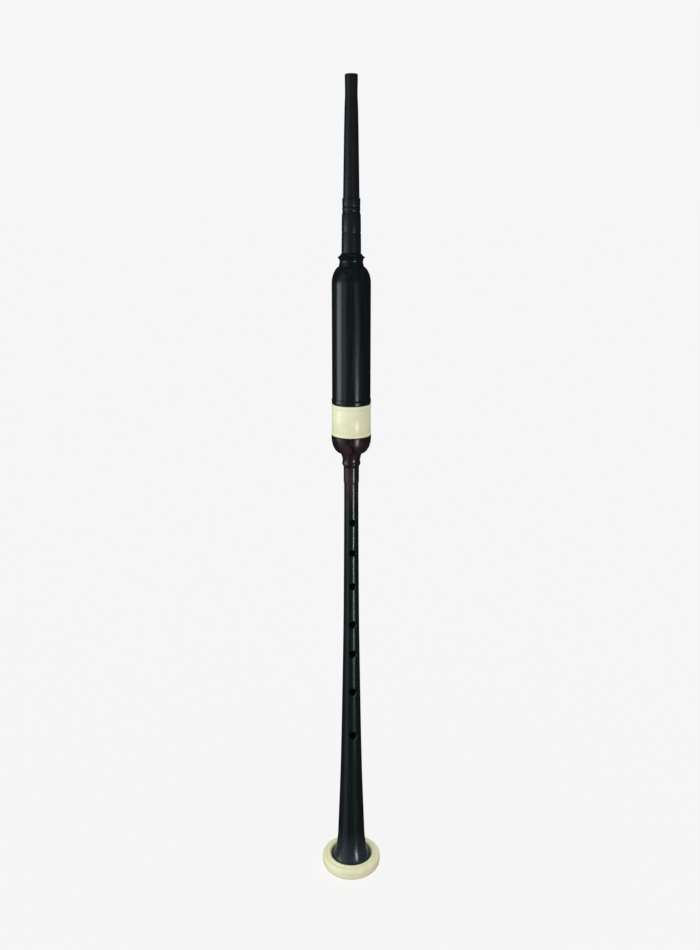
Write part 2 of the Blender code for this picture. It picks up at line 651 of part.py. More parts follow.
def make_blade(name, joint, towards):
    """One arched blade. Its inner face is a parabola across, and it flattens and widens towards the lips."""
    bm = bmesh.new()
    rows = []
    for row in range(BLADE_ROWS + 1):
        rise = BLADE_LENGTH * row / BLADE_ROWS
        across = [2 * column / BLADE_COLUMNS - 1 for column in range(BLADE_COLUMNS + 1)]
        rows.append(
            [
                bm.verts.new(
                    (
                        u * blade_half_width(rise),
                        towards * (BLADE_GAP / 2 + blade_arch(rise) * (1 - u * u)),
                        BLADE_FOOT_HEIGHT + rise,
                    )
                )
                for u in across
            ]
        )
    for lower, upper in zip(rows, rows[1:]):
        for i in range(BLADE_COLUMNS):
            corners = [lower[i], lower[i + 1], upper[i + 1], upper[i]]
            bm.faces.new(corners if towards < 0 else corners[::-1])
    mesh = bpy.data.meshes.new(name)
    bm.to_mesh(mesh)
    bm.free()
    blade = add_object(name, mesh, joint, material(f"{name}_plastic", "d8c9a0", 0.45))
    wall = blade.modifiers.new("thickness", "SOLIDIFY")
    wall.thickness = BLADE_THICKNESS
    wall.offset = 1.0
    wall.use_even_offset = False


def oval_ring(name, outline_of, half_width, half_depth, joint, finish, sides):
    """A ring turned round and stretched to an oval. outline_of gives its outline for an inner radius."""
    mean = (half_width + half_depth) / 2
    return turned(name, outline_of(mean), joint, finish, sides, (half_width / mean, half_depth / mean))


def make_reed(joint):
    staple = [
        (STAPLE_FOOT_RADIUS - STAPLE_WALL, 0),
        (STAPLE_FOOT_RADIUS, 0),
        (STAPLE_HEAD_RADIUS, STAPLE_LENGTH),
        (STAPLE_HEAD_RADIUS - STAPLE_WALL, STAPLE_LENGTH),
    ]
    turned("reed_staple", staple, joint, material("staple_brass", "c9a44e", 0.3, 1.0), REED_SIDES)
    seat_inner = STAPLE_HEAD_RADIUS + SEAT_GAP
    lapping = sleeve(seat_inner, SEAT_LAPPING_RADIUS, SEAT_GAP, SEAT_GAP + SEAT_LAPPING_LENGTH)
    turned("reed_seat_lapping", lapping, joint, hemp("reed_hemp"), REED_SIDES)
    make_blade("reed_blade_front", joint, -1)
    make_blade("reed_blade_back", joint, 1)

    foot = BLADE_FOOT_HEIGHT + BINDING_RISE
    oval_ring(
        "reed_binding",
        lambda inner: sleeve(inner, inner + BINDING_THICKNESS, foot, foot + BINDING_LENGTH),
        blade_outer_half_width(0) + SEAT_GAP,
        blade_outer_height(0) + SEAT_GAP,
        joint,
        material("binding_thread", "b3372c", 0.7),
        REED_SIDES,
    )
    oval_ring(
        "reed_bridle",
        lambda inner: arc((inner + BRIDLE_CORD_RADIUS, 0), BRIDLE_CORD_RADIUS, 360, 0, BRIDLE_CORD_SIDES)[1:],
        blade_outer_half_width(BRIDLE_RISE + BRIDLE_TRAVEL) + SEAT_GAP,
        blade_outer_height(BRIDLE_RISE - BRIDLE_TRAVEL) + SEAT_GAP,
        seat("bridle_joint", BLADE_FOOT_HEIGHT + BRIDLE_RISE, joint),
        material("bridle_rubber", "26262a", 0.7),
        REED_SIDES,
    )


def main():
    clear_scene()
    chanter = make_chanter()
    chamber_joint = seat("chamber_joint", BODY_HEIGHT, chanter)
    make_tenon_lapping(chamber_joint)
    make_chamber(chamber_joint)
    make_mouthpiece(seat("mouthpiece_joint", CHAMBER_TOP, chamber_joint))
    make_reed(seat("reed_joint", REED_FOOT, chamber_joint))


main()
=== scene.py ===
# %% [markdown]
# # A practice chanter, seen in a pale studio
#
# The chanter is the quiet pipe on which bagpipe fingering is learnt. Nearly every piece of it was turned
# on a lathe, so nearly every piece here is a surface of revolution: an outline of radius against height,
# carried round the Z axis. The cells below build the surfaces first, then the woods and plastics, then
# light and camera. Lengths are in metres, and most are written as millimetres times MM.

# %%
# Setting up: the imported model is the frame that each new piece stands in
import math

import bpy
import numpy as np
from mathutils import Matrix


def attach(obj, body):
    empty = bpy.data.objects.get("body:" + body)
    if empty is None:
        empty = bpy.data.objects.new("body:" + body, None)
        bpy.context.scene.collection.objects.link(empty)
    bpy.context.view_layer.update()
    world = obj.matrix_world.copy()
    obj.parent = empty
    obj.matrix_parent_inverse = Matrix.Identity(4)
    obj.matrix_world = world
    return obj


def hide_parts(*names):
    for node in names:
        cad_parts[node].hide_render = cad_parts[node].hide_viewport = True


MM = 0.001
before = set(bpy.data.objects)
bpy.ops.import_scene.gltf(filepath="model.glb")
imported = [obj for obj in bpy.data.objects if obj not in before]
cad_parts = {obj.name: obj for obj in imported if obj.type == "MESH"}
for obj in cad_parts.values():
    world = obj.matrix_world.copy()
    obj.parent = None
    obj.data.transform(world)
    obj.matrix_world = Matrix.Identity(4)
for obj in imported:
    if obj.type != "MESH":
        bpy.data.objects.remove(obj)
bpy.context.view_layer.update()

# %% [markdown]
# ## Outlines
#
# An outline is an array of (radius, height) rows. Round stretches are arcs, and a long taper is a smooth
# curve through a few measured stations. The curve is a cubic between each two stations, and its slope at
# a station is the harmonic mean of the slopes on both sides. Blender's own curves could do this too, but
# they swell past their points where a taper changes, and the harmonic mean keeps the cubic from doing
# that.

# %%
# Pieces of outline
ROW_SPACING = 0.8 * MM
SAME_POINT = 1e-7


def arc(centre, reach, start, end, rise=None, steps=10):
    """radius = centre + reach cos(a), height = centre + rise sin(a), with a from start to end in degrees."""
    angle = np.radians(np.linspace(start, end, steps + 1))
    rise = reach if rise is None else rise
    return np.stack([centre[0] + reach * np.cos(angle), centre[1] + rise * np.sin(angle)], axis=1)


def smooth(stations, spacing=ROW_SPACING):
    """A curve up through (radius, height) stations: a Hermite cubic in each span, harmonic mean slopes."""
    radius, height = np.array(stations, float).T
    span = np.diff(height)
    slope = np.diff(radius) / span
    same_way = slope[:-1] * slope[1:] > 0
    total = np.where(same_way, slope[:-1] + slope[1:], 1.0)
    inner = np.where(same_way, 2 * slope[:-1] * slope[1:] / total, 0.0)
    tangent = np.concatenate([slope[:1], inner, slope[-1:]])
    level = np.linspace(height[0], height[-1], int((height[-1] - height[0]) / spacing) + 2)
    low = np.clip(np.searchsorted(height, level, side="right") - 1, 0, len(span) - 1)
    t = (level - height[low]) / span[low]
    curve = (
        radius[low] * (1 + 2 * t) * (1 - t) ** 2
        + radius[low + 1] * t * t * (3 - 2 * t)
        + span[low] * tangent[low] * t * (1 - t) ** 2
        - span[low] * tangent[low + 1] * t * t * (1 - t)
    )
    return np.stack([curve, level], axis=1)


def edges(*corners):
    """Straight stretches through a few corners."""
    return np.array(corners, float)


def outline(*runs):
    """Joins runs end to end, leaving out a point that repeats the one before it."""
    rows = np.concatenate(runs)
    keep = np.concatenate([[True], np.linalg.norm(np.diff(rows, axis=0), axis=1) > SAME_POINT])
    return rows[keep]


print("outline tools ready")

# %% [markdown]
# ## From an outline to a surface
#
# Turning an outline gives a grid: one row for each point of the outline, one column for each step round
# the axis. Point (i, j) lies at (r_i cos a_j, r_i sin a_j, h_i). Both directions close on themselves,
# because the outline runs up the outside of a piece and back down its bore. Blender's Screw modifier
# turns a profile as well. The grid is built here instead, because the finger holes are sewn into it by
# row and column.

# %%
# The turned surface
SIDES = 160
SHARP = math.radians(38)  # corners sharper than this stay crisp in the shading


def mesh_object(name, points, faces):
    """One object at the origin from an array of points and a list of corner lists."""
    mesh = bpy.data.meshes.new(name)
    mesh.from_pydata(points.tolist(), [], faces)
    mesh.validate()
    mesh.shade_smooth()
    mesh.set_sharp_from_angle(angle=SHARP)
    made = bpy.data.objects.new(name, mesh)
    bpy.context.scene.collection.objects.link(made)
    return made


def turned_points(rows, sides=SIDES):
    """x = r cos(a), y = r sin(a), z = h, for each row of the outline and each step a round the axis."""
    angle = np.linspace(0, 2 * math.pi, sides, endpoint=False)
    radius, height = rows[:, 0, None], rows[:, 1, None]
    grid = np.stack([radius * np.cos(angle), radius * np.sin(angle), height + 0 * angle], axis=2)
    return grid.reshape(-1, 3)


def grid_faces(rows, sides, keep=None):
    """Four corners for each cell of a grid that closes both ways. keep marks the cells that stay."""
    i, j = np.meshgrid(np.arange(rows), np.arange(sides), indexing="ij")
    up, on = (i + 1) % rows, (j + 1) % sides
    cells = np.stack([i * sides + j, i * sides + on, up * sides + on, up * sides + j], axis=2)
    return cells.reshape(-1, 4) if keep is None else cells[keep]


def turned(name, rows, sides=SIDES):
    """The surface of revolution of a closed outline that runs up the outside and down the inside."""
    return mesh_object(name, turned_points(rows, sides), grid_faces(len(rows), sides).tolist())


print("a turned piece has", SIDES, "steps round its axis")

# %% [markdown]
# ## The chanter body
#
# Bell, stem, collar, ring, bulb and tenon are one piece of blackwood, so they are one outline here. The
# bell could be an arc, but a turner ends a slow taper in a wide rim by eye, and that falls off as an
# exponential. The heights below are counted from the ground.

# %%
# Sizes of the chanter body
SHOULDER = 304.2 * MM  # where the chamber rests on the bulb
BELL_EDGE = 13.5 * MM
BELL_SEAT = 6.0 * MM  # underside of the bell's rim, in the sole
BELL_ROUNDING = 0.3 * MM
BELL_LIFT = 0.35 * MM  # height of the rounding's centre over the seat
FLARE_FOOT = BELL_SEAT + 1.0 * MM
FLARE_EDGE = BELL_EDGE - 0.25 * MM
FLARE_REACH = 6.9 * MM
FLARE_ROWS = 40
FLARE_CROWDING = 1.5  # above 1, the rows lie closer together near the rim
THROAT = (9.05 * MM, 24.0 * MM)
BULB = 12.85 * MM
BULB_FOOT = SHOULDER - 13.9 * MM
BULB_CHAMFER = 0.2 * MM
BOWL_TOP = SHOULDER - 1.2 * MM
BOWL_FOOT = BULB_FOOT + 2.2 * MM
BOWL_FOOT_RADIUS = 6.9 * MM
COLLAR_SPACING = 0.25 * MM
SPIGOT = 11.6 * MM
MOUTH = (5.0 * MM, 1.5 * MM)
print("sizes of the body set from its shoulder at", round(SHOULDER / MM, 1), "mm")


# %%
# Outer side of the chanter body
def flare():
    """r = throat + (edge - throat) e^(-h / reach), brought to the throat's radius at its height."""
    span = THROAT[1] - FLARE_FOOT
    rise = span * np.linspace(0, 1, FLARE_ROWS) ** FLARE_CROWDING
    rest = math.exp(-span / FLARE_REACH)
    share = (np.exp(-rise / FLARE_REACH) - rest) / (1 - rest)
    return np.stack([THROAT[0] + (FLARE_EDGE - THROAT[0]) * share, FLARE_FOOT + rise], axis=1)


def collar():
    """A smooth curve up the plain collar, over the ring and through the cove into the bulb."""
    return smooth(
        [
            (5.02 * MM, BULB_FOOT - 16.9 * MM),
            (5.04 * MM, BULB_FOOT - 7.4 * MM),
            (5.3 * MM, BULB_FOOT - 6.6 * MM),
            (6.0 * MM, BULB_FOOT - 4.9 * MM),
            (5.72 * MM, BULB_FOOT - 3.2 * MM),
            (5.75 * MM, BULB_FOOT - 2.0 * MM),
            (6.3 * MM, BULB_FOOT + 0.2 * MM),
            (BOWL_FOOT_RADIUS, BOWL_FOOT),
        ],
        COLLAR_SPACING,
    )


def chanter_outer():
    """The outer side, from the spigot in the sole up to the shoulder."""
    stem = smooth(
        [
            THROAT,
            (7.2 * MM, 75 * MM),
            (6.05 * MM, 129 * MM),
            (5.12 * MM, 190 * MM),
            (4.7 * MM, SHOULDER - 33 * MM),
            (4.98 * MM, SHOULDER - 31 * MM),
        ]
    )
    bowl = arc((BOWL_FOOT_RADIUS, BOWL_TOP), BULB - BOWL_FOOT_RADIUS, -88, 0, BOWL_TOP - BOWL_FOOT, 24)
    spigot = edges(MOUTH, (SPIGOT, MOUTH[1]), (SPIGOT, BELL_SEAT))
    rim = arc((BELL_EDGE - BELL_ROUNDING, BELL_SEAT + BELL_LIFT), BELL_ROUNDING, -90, 0, steps=4)
    return outline(spigot, rim, flare(), stem, collar(), bowl, edges((BULB, SHOULDER - BULB_CHAMFER)))


print("outer side with", len(chanter_outer()), "points")

# %%
# Tenon and bore of the chanter body
TENON_TOP = SHOULDER + 22.0 * MM
TENON_LIP = 8.35 * MM
TENON_CORE = 6.9 * MM
TENON_LIP_HEIGHT = 1.5 * MM
EASED_EDGE = 0.3 * MM
BORE = 2.25 * MM
BORE_FOOT = 9.5 * MM  # below this the bore widens to the mouth
REED_SEAT = 3.4 * MM
REED_SEAT_FOOT = TENON_TOP - 14 * MM


def chanter_rows():
    """The outer side, the tenon with its two lips, and the bore back down."""
    tenon = edges(
        (BULB - BULB_CHAMFER, SHOULDER),
        (TENON_LIP, SHOULDER),
        (TENON_LIP, SHOULDER + TENON_LIP_HEIGHT),
        (TENON_CORE, SHOULDER + TENON_LIP_HEIGHT),
        (TENON_CORE, TENON_TOP - TENON_LIP_HEIGHT),
        (TENON_LIP, TENON_TOP - TENON_LIP_HEIGHT),
        (TENON_LIP, TENON_TOP - EASED_EDGE),
        (TENON_LIP - EASED_EDGE, TENON_TOP),
        (REED_SEAT + EASED_EDGE, TENON_TOP),
        (REED_SEAT, TENON_TOP - EASED_EDGE),
        (REED_SEAT, REED_SEAT_FOOT),
    )
    level = np.arange(REED_SEAT_FOOT, BORE_FOOT, -ROW_SPACING)
    bore = np.stack([np.full(len(level), BORE), level], axis=1)
    return outline(chanter_outer(), tenon, bore, edges((BORE, BORE_FOOT)))


body_rows = chanter_rows()
print("the body's outline has", len(body_rows), "points")

# %% [markdown]
# ## Finger holes
#
# The holes are drilled into the finished stem, and fingers have worn their edges round. A Boolean
# modifier could cut them, but it leaves ragged faces that shade badly. Here a hole is a patch sewn into
# the grid. The cells around it come out, which leaves a rectangle of open edge. Rings of points then run
# from that edge in to a circle, over a rounded rim, and down the hole's wall into the bore, whose cells
# behind the hole come out too. The wall isn't joined to the bore, so both keep an open edge there, deep
# inside. Every ring has as many points as the window's edge, so each two rings join cell by cell. On the
# surface a point at (x, z) has y = -sqrt(R(z)^2 - x^2) in front, where R is the outline, and the same
# with a plus behind.

# %%
# Places and sizes of the holes
FRONT, BACK = -1, 1
TOP_HOLE = SHOULDER - 58.2 * MM
SPACINGS = np.array([0, 20.6, 22.9, 26.4, 20.4, 26.8, 30.8]) * MM
HOLE_RADII = np.linspace(2.0, 2.6, len(SPACINGS)) * MM
HOLES = [(TOP_HOLE - drop, radius, FRONT) for drop, radius in zip(np.cumsum(SPACINGS), HOLE_RADII)]
THUMB_RISE = 15.3 * MM
HOLES.append((TOP_HOLE + THUMB_RISE, HOLE_RADII[0], BACK))
print("holes at", [round(height / MM, 1) for height, *rest in HOLES], "mm")

# %%
# Rings of one hole
RIM = 0.45 * MM  # radius of the worn edge of a hole
FLAT_RINGS = 5
RIM_RINGS = 6
WALL_END = BORE / 3  # how far from the axis a hole's wall ends


def hole_rings(edge, height, radius, side, outer):
    """Rings from the open edge in to the rim, over a quarter circle, and down into the bore."""
    turn = np.arctan2(edge[:, 2] - height, edge[:, 0])
    circle = np.stack([np.cos(turn), np.sin(turn)], axis=1)
    flat_edge = np.stack([edge[:, 0], edge[:, 2] - height], axis=1)
    spread = np.linspace(0, 1, FLAT_RINGS + 1)[1:]
    flat = [flat_edge * (1 - t) + circle * (radius + RIM) * t for t in spread]
    depth = [0.0] * len(flat)
    roll = np.radians(np.linspace(0, 90, RIM_RINGS + 1))[1:]
    flat += [circle * (radius + RIM * (1 - math.sin(a))) for a in roll]
    depth += [RIM * (1 - math.cos(a)) for a in roll]
    rings = []
    for spot, down in zip(flat, depth):
        x, z = spot[:, 0], spot[:, 1] + height
        reach = np.interp(z, outer[:, 1], outer[:, 0])
        rings.append(np.stack([x, side * (np.sqrt(reach**2 - x**2) - down), z], axis=1))
    inside = rings[-1].copy()
    inside[:, 1] = side * WALL_END
    return rings + [inside]


print("each hole has", FLAT_RINGS + RIM_RINGS + 1, "rings")

# %%
# Windows in the grid
HALF_WINDOW = 17  # columns on each side of a hole
WINDOW_MARGIN = 0.7 * MM
STEM_LIMIT = 9 * MM  # wider rows belong to the bell, which has no hole
BORE_LIMIT = BORE * 1.01  # rows narrower than this belong to the bore


def middle_column(side):
    """The column that faces the front or the back: three quarters or one quarter of the way round."""
    return SIDES * 3 // 4 if side == FRONT else SIDES // 4


def window(height, radius, side, outer):
    """Lowest and highest row, then left and right column, of the cells that a hole's patch replaces."""
    reach = radius + RIM + WINDOW_MARGIN
    near = np.flatnonzero((np.abs(outer[:, 1] - height) <= reach) & (outer[:, 0] < STEM_LIMIT))
    middle = middle_column(side)
    return near[0], near[-1], middle - HALF_WINDOW, middle + HALF_WINDOW


def window_edge(low, high, left, right):
    """Numbers of the points round a window: along its foot, up its right side, back, and down its left."""
    across, up = np.arange(left, right), np.arange(low, high)
    foot, top = low * SIDES + across, high * SIDES + across[::-1] + 1
    return np.concatenate([foot, up * SIDES + right, top, (up[::-1] + 1) * SIDES + left])


def bore_window(height, radius, side, rows):
    """Index of the bore's cells behind a hole: the half of the bore that faces it, within its radius."""
    level = np.flatnonzero((rows[:, 0] <= BORE_LIMIT) & (np.abs(rows[:, 1] - height) < radius))
    middle, quarter = middle_column(side), SIDES // 4
    return np.ix_(level, np.arange(middle - quarter, middle + quarter) % SIDES)


print("a window is", 2 * HALF_WINDOW, "columns wide")


# %%
# The drilled body
def drilled_body(name, rows):
    """The turned body with a patch for each hole, and the bore opened behind it."""
    points = turned_points(rows)
    keep = np.ones((len(rows), SIDES), bool)
    outer = rows[: int(np.argmax(rows[:, 1] >= SHOULDER))]
    faces = []
    for height, radius, side in HOLES:
        low, high, left, right = window(height, radius, side, outer)
        keep[low:high, left:right] = False
        keep[bore_window(height, radius, side, rows)] = False
        loop = window_edge(low, high, left, right)
        rings = hole_rings(points[loop], height, radius, side, outer)
        numbers = np.arange(len(rings) * len(loop)).reshape(len(rings), -1) + len(points)
        index = np.concatenate([[loop], numbers])
        after = np.roll(index, -1, axis=1)
        patch = np.stack([index[:-1], after[:-1], after[1:], index[1:]], axis=2)
        faces += patch.reshape(-1, 4).tolist()
        points = np.concatenate([points, *rings])
    return mesh_object(name, points, grid_faces(len(rows), SIDES, keep).tolist() + faces)


body = drilled_body("chanter_body_turned", body_rows)
print("the body has", len(HOLES), "holes and", len(body.data.polygons), "faces")

# %% [markdown]
# ## Sole and ferrule
#
# The sole is a fat ring of imitation ivory with a bead round the bell's rim, and the ferrule is a band of
# it with a low bead at each end. A torus and a tube would come near them, but their edges are worn soft
# in many radii, so each is an outline of arcs.

# %%
# The sole
SOLE = 19.7 * MM
SOLE_HEIGHT = 8.1 * MM
SOLE_HOLE = 11.9 * MM
FOOT_INSET = 3.6 * MM
FOOT_RISE = 4.4 * MM
TOP_ROUNDING = 2.0 * MM
BEAD_CENTRE = (15.2 * MM, 7.5 * MM)
BEAD_RADIUS = 1.4 * MM
SOCKET_EDGE = 13.8 * MM
SOCKET_FLOOR = 5.7 * MM


def sole_rows():
    """A flat foot, a round side, a bead round the bell, and the seat that the bell stands in."""
    bead = arc(BEAD_CENTRE, BEAD_RADIUS, 25, 180, steps=16)
    side = arc((SOLE - FOOT_INSET, FOOT_RISE), FOOT_INSET, -90, 0, FOOT_RISE, 16)
    top = arc((SOLE - TOP_ROUNDING, SOLE_HEIGHT - TOP_ROUNDING), TOP_ROUNDING, 0, 80, steps=12)
    foot = edges((SOLE_HOLE, 1.2 * MM), (13.7 * MM, 0.05 * MM), (14.0 * MM, 0))
    seat = edges((SOCKET_EDGE, SOCKET_FLOOR), (SOLE_HOLE, SOCKET_FLOOR))
    return outline(foot, side, top, bead, seat)


sole = turned("sole_turned", sole_rows())
print("the sole has", len(sole.data.vertices), "points")

# %%
# The ferrule
FERRULE = 12.75 * MM
FERRULE_FOOT = SHOULDER + 0.3 * MM
FERRULE_TOP = FERRULE_FOOT + 20.5 * MM
FERRULE_HOLE = 10.9 * MM
BEAD_HALF_HEIGHT = 1.1 * MM
BEAD_RISE = 0.45 * MM
BAND_SUNK = 0.22 * MM  # how far the middle lies below the beads
BAND_START = 2.3 * MM


def ferrule_rows():
    """A band whose ends are rounded beads, with a middle that lies a little lower."""
    band, crown = FERRULE - BAND_SUNK, FERRULE - BEAD_RISE
    low = arc((crown, FERRULE_FOOT + BEAD_HALF_HEIGHT), BEAD_RISE, -88, 70, BEAD_HALF_HEIGHT, 10)
    high = arc((crown, FERRULE_TOP - BEAD_HALF_HEIGHT), BEAD_RISE, -70, 88, BEAD_HALF_HEIGHT, 10)
    middle = edges((band, FERRULE_FOOT + BAND_START), (band, FERRULE_TOP - BAND_START))
    hole = edges((FERRULE_HOLE, FERRULE_TOP), (FERRULE_HOLE, FERRULE_FOOT))
    return outline(low, middle, high, hole)


ferrule = turned("ferrule_turned", ferrule_rows())
print("the ferrule has", len(ferrule.data.vertices), "points")

# %% [markdown]
# ## Reed chamber
#
# The chamber is the cap over the reed. It closes in a rounded shoulder, then a cove, then a thin lip
# round the mouthpiece. A cylinder with a bevelled top would lose the cove, which catches the light, so
# the outline names each of these stretches. Inside it has a domed hollow for the reed and a socket for
# the mouthpiece.

# %%
# The chamber
CHAMBER = 12.5 * MM
LIP_HEIGHT = SHOULDER + 115.2 * MM
CHAMBER_TOP = LIP_HEIGHT + 2.4 * MM
NECK = 7.4 * MM
NECK_FOOT = LIP_HEIGHT - 3.0 * MM
LIP_FLARE = 1.55 * MM
LIP_SLOPE = 2.6 * MM
SHOULDER_DEPTH, SHOULDER_HEIGHT = 6.8 * MM, 11.5 * MM  # half axes of the rounded shoulder
SHOULDER_END = 8.0 * MM
SHOULDER_GAP = 2.9 * MM
CURVE_POINTS = 12
CHAMBER_SPIGOT = 10.6 * MM
CHAMBER_MOUTH = 8.8 * MM
CHAMBER_FOOT = SHOULDER + 0.6 * MM
SOCKET = 5.3 * MM
SOCKET_DEPTH = 15.8 * MM
AIR_HOLE = 2.25 * MM
HOLLOW = 8.0 * MM
HOLLOW_TOP = LIP_HEIGHT - 25 * MM
DOME_RISE = 3 * MM
HOLLOW_FOOT = SHOULDER + 22.8 * MM


def chamber_rows():
    """Spigot, bead, wall, rounded shoulder, cove and lip, then the socket, the air hole and the hollow."""
    last = math.degrees(math.acos(1 - (CHAMBER - SHOULDER_END) / SHOULDER_DEPTH))
    wall_top = NECK_FOOT - SHOULDER_GAP - SHOULDER_HEIGHT * math.sin(math.radians(last))
    t = np.linspace(0, 1, CURVE_POINTS)
    lip = NECK + LIP_FLARE
    cove = np.stack([NECK + LIP_FLARE * t * t, NECK_FOOT + (LIP_HEIGHT - NECK_FOOT) * t], axis=1)
    cone = np.stack([lip - LIP_SLOPE * np.sqrt(t), LIP_HEIGHT + (CHAMBER_TOP - LIP_HEIGHT) * t], axis=1)
    spigot = edges(
        (CHAMBER_MOUTH, CHAMBER_FOOT), (CHAMBER_SPIGOT, CHAMBER_FOOT), (CHAMBER_SPIGOT, FERRULE_TOP)
    )
    bead = arc((CHAMBER - 0.1 * MM, FERRULE_TOP + 2.0 * MM), 0.32 * MM, -88, 88, 1.7 * MM, 10)
    socket_foot = CHAMBER_TOP - SOCKET_DEPTH
    inside = edges((SOCKET, CHAMBER_TOP), (SOCKET, socket_foot), (AIR_HOLE, socket_foot))
    dome = arc((AIR_HOLE, HOLLOW_TOP), HOLLOW - AIR_HOLE, 90, 0, DOME_RISE, 8)
    mouth = edges((HOLLOW, HOLLOW_FOOT), (CHAMBER_MOUTH, HOLLOW_FOOT))
    shoulder = arc((CHAMBER - SHOULDER_DEPTH, wall_top), SHOULDER_DEPTH, 0, last, SHOULDER_HEIGHT, 28)
    return outline(spigot, bead, shoulder, cove, cone, inside, dome, mouth)


chamber = turned("reed_chamber_turned", chamber_rows())
print("the chamber has", len(chamber.data.vertices), "points")

# %% [markdown]
# ## Mouthpiece
#
# The mouthpiece is black plastic in two parts. The barrel has one soft groove, a small step, and two more
# grooves on its narrower head. The tip is a long taper that narrows to a waist and ends in a slight bead,
# so that lips can hold it. Grooves drawn in a bump map would vanish at the silhouette, so they are cut
# into the outline.

# %%
# The barrel
MOUTHPIECE_SIDES = 96
BARREL_TOP = CHAMBER_TOP + 34.6 * MM
PLUG_FOOT = CHAMBER_TOP - 15.5 * MM
PLUG_LIP = 4.85 * MM
PLUG_CORE = 3.8 * MM
PLUG_LIP_HEIGHT = 1.2 * MM
BARREL_FOOT = CHAMBER_TOP + 0.3 * MM
BARREL_STEP = CHAMBER_TOP + 24.6 * MM
BARREL_AIR = 2.0 * MM
HEAD = 5.72 * MM
HEAD_ROUNDING = 0.3 * MM
TIP_SOCKET = 3.9 * MM
TIP_SOCKET_DEPTH = 10.3 * MM


def groove(height, radius, half=0.75 * MM, depth=0.2 * MM):
    """A groove whose section is half a cosine wave: r = radius - depth (1 + cos) / 2."""
    t = np.linspace(-1, 1, 9)
    return np.stack([radius - depth * (1 + np.cos(math.pi * t)) / 2, height + half * t], axis=1)


def barrel_rows():
    """Tenon with two lips, tapered lower part, step, narrower head with grooves, and the tip's socket."""
    stub = edges(
        (BARREL_AIR, PLUG_FOOT),
        (PLUG_LIP, PLUG_FOOT),
        (PLUG_LIP, PLUG_FOOT + PLUG_LIP_HEIGHT),
        (PLUG_CORE, PLUG_FOOT + PLUG_LIP_HEIGHT),
        (PLUG_CORE, CHAMBER_TOP - PLUG_LIP_HEIGHT),
        (PLUG_LIP, CHAMBER_TOP - PLUG_LIP_HEIGHT),
        (PLUG_LIP, BARREL_FOOT),
        (6.05 * MM, BARREL_FOOT),
        (6.25 * MM, BARREL_FOOT + 0.2 * MM),
    )
    soft_groove = groove(CHAMBER_TOP + 13 * MM, 6.12 * MM)
    step = edges(
        (6.0 * MM, BARREL_STEP - 0.6 * MM), (5.95 * MM, BARREL_STEP - 0.4 * MM), (HEAD, BARREL_STEP)
    )
    head = outline(groove(CHAMBER_TOP + 26.3 * MM, HEAD), groove(CHAMBER_TOP + 29.4 * MM, HEAD))
    top = arc((HEAD - HEAD_ROUNDING, BARREL_TOP - HEAD_ROUNDING), HEAD_ROUNDING, 0, 88, steps=8)
    socket_foot = BARREL_TOP - TIP_SOCKET_DEPTH
    socket = edges((TIP_SOCKET, BARREL_TOP), (TIP_SOCKET, socket_foot), (BARREL_AIR, socket_foot))
    return outline(stub, soft_groove, step, head, top, socket)


barrel = turned("mouthpiece_barrel_turned", barrel_rows(), MOUTHPIECE_SIDES)
print("the barrel has", len(barrel.data.vertices), "points")

# %%
# The tip
TIP_FOOT = BARREL_TOP + 0.05 * MM
TIP_TOP = BARREL_TOP + 75.7 * MM
TIP_SPIGOT = 3.6 * MM
TIP_SPIGOT_FOOT = BARREL_TOP - 10 * MM
TIP_AIR = 2.0 * MM
TIP_BEAD = 4.06 * MM
TIP_ROUNDING = 0.8 * MM


def tip_rows():
    """Spigot, long taper, waist and beaded end."""
    side = smooth(
        [
            (5.2 * MM, TIP_FOOT),
            (4.26 * MM, TIP_TOP - 21 * MM),
            (3.92 * MM, TIP_TOP - 11.2 * MM),
            (TIP_BEAD, TIP_TOP - 3.6 * MM),
        ]
    )
    end = arc((TIP_BEAD - TIP_ROUNDING, TIP_TOP - TIP_ROUNDING), TIP_ROUNDING, 0, 90, steps=8)
    hole_edge = arc((TIP_AIR + EASED_EDGE, TIP_TOP - EASED_EDGE), EASED_EDGE, 90, 180, steps=4)
    spigot = edges((TIP_AIR, TIP_SPIGOT_FOOT), (TIP_SPIGOT, TIP_SPIGOT_FOOT), (TIP_SPIGOT, TIP_FOOT))
    return outline(spigot, side, end, hole_edge)


tip = turned("mouthpiece_tip_turned", tip_rows(), MOUTHPIECE_SIDES)
print("the tip has", len(tip.data.vertices), "points")

# %% [markdown]
# ## Wound hemp
#
# The three lappings are waxed hemp, wound on a core until the joint is tight. A bump pattern of rings
# would do from far off, but the turns show as ridges at the edge when a joint is pulled apart. So the
# thread is a real helix: its centre runs along x = a cos(t), y = b sin(t), rising one thread's width a
# turn, and a small circle is carried along it.

# %%
# Windings
TURN_STEPS = 48
THREAD_SIDES = 6
THREAD_FULLNESS = 0.52  # a little over half a thread's width, so that the turns touch
HEMP = 0.55 * MM
REED_FOOT = SHOULDER + 8.3 * MM
TENON_WINDING = 8.2 * MM
PLUG_WINDING = 4.7 * MM
REED_WINDING = 2.82 * MM
WINDING_GAP = 0.3 * MM  # bare core between a winding and the lip beside it


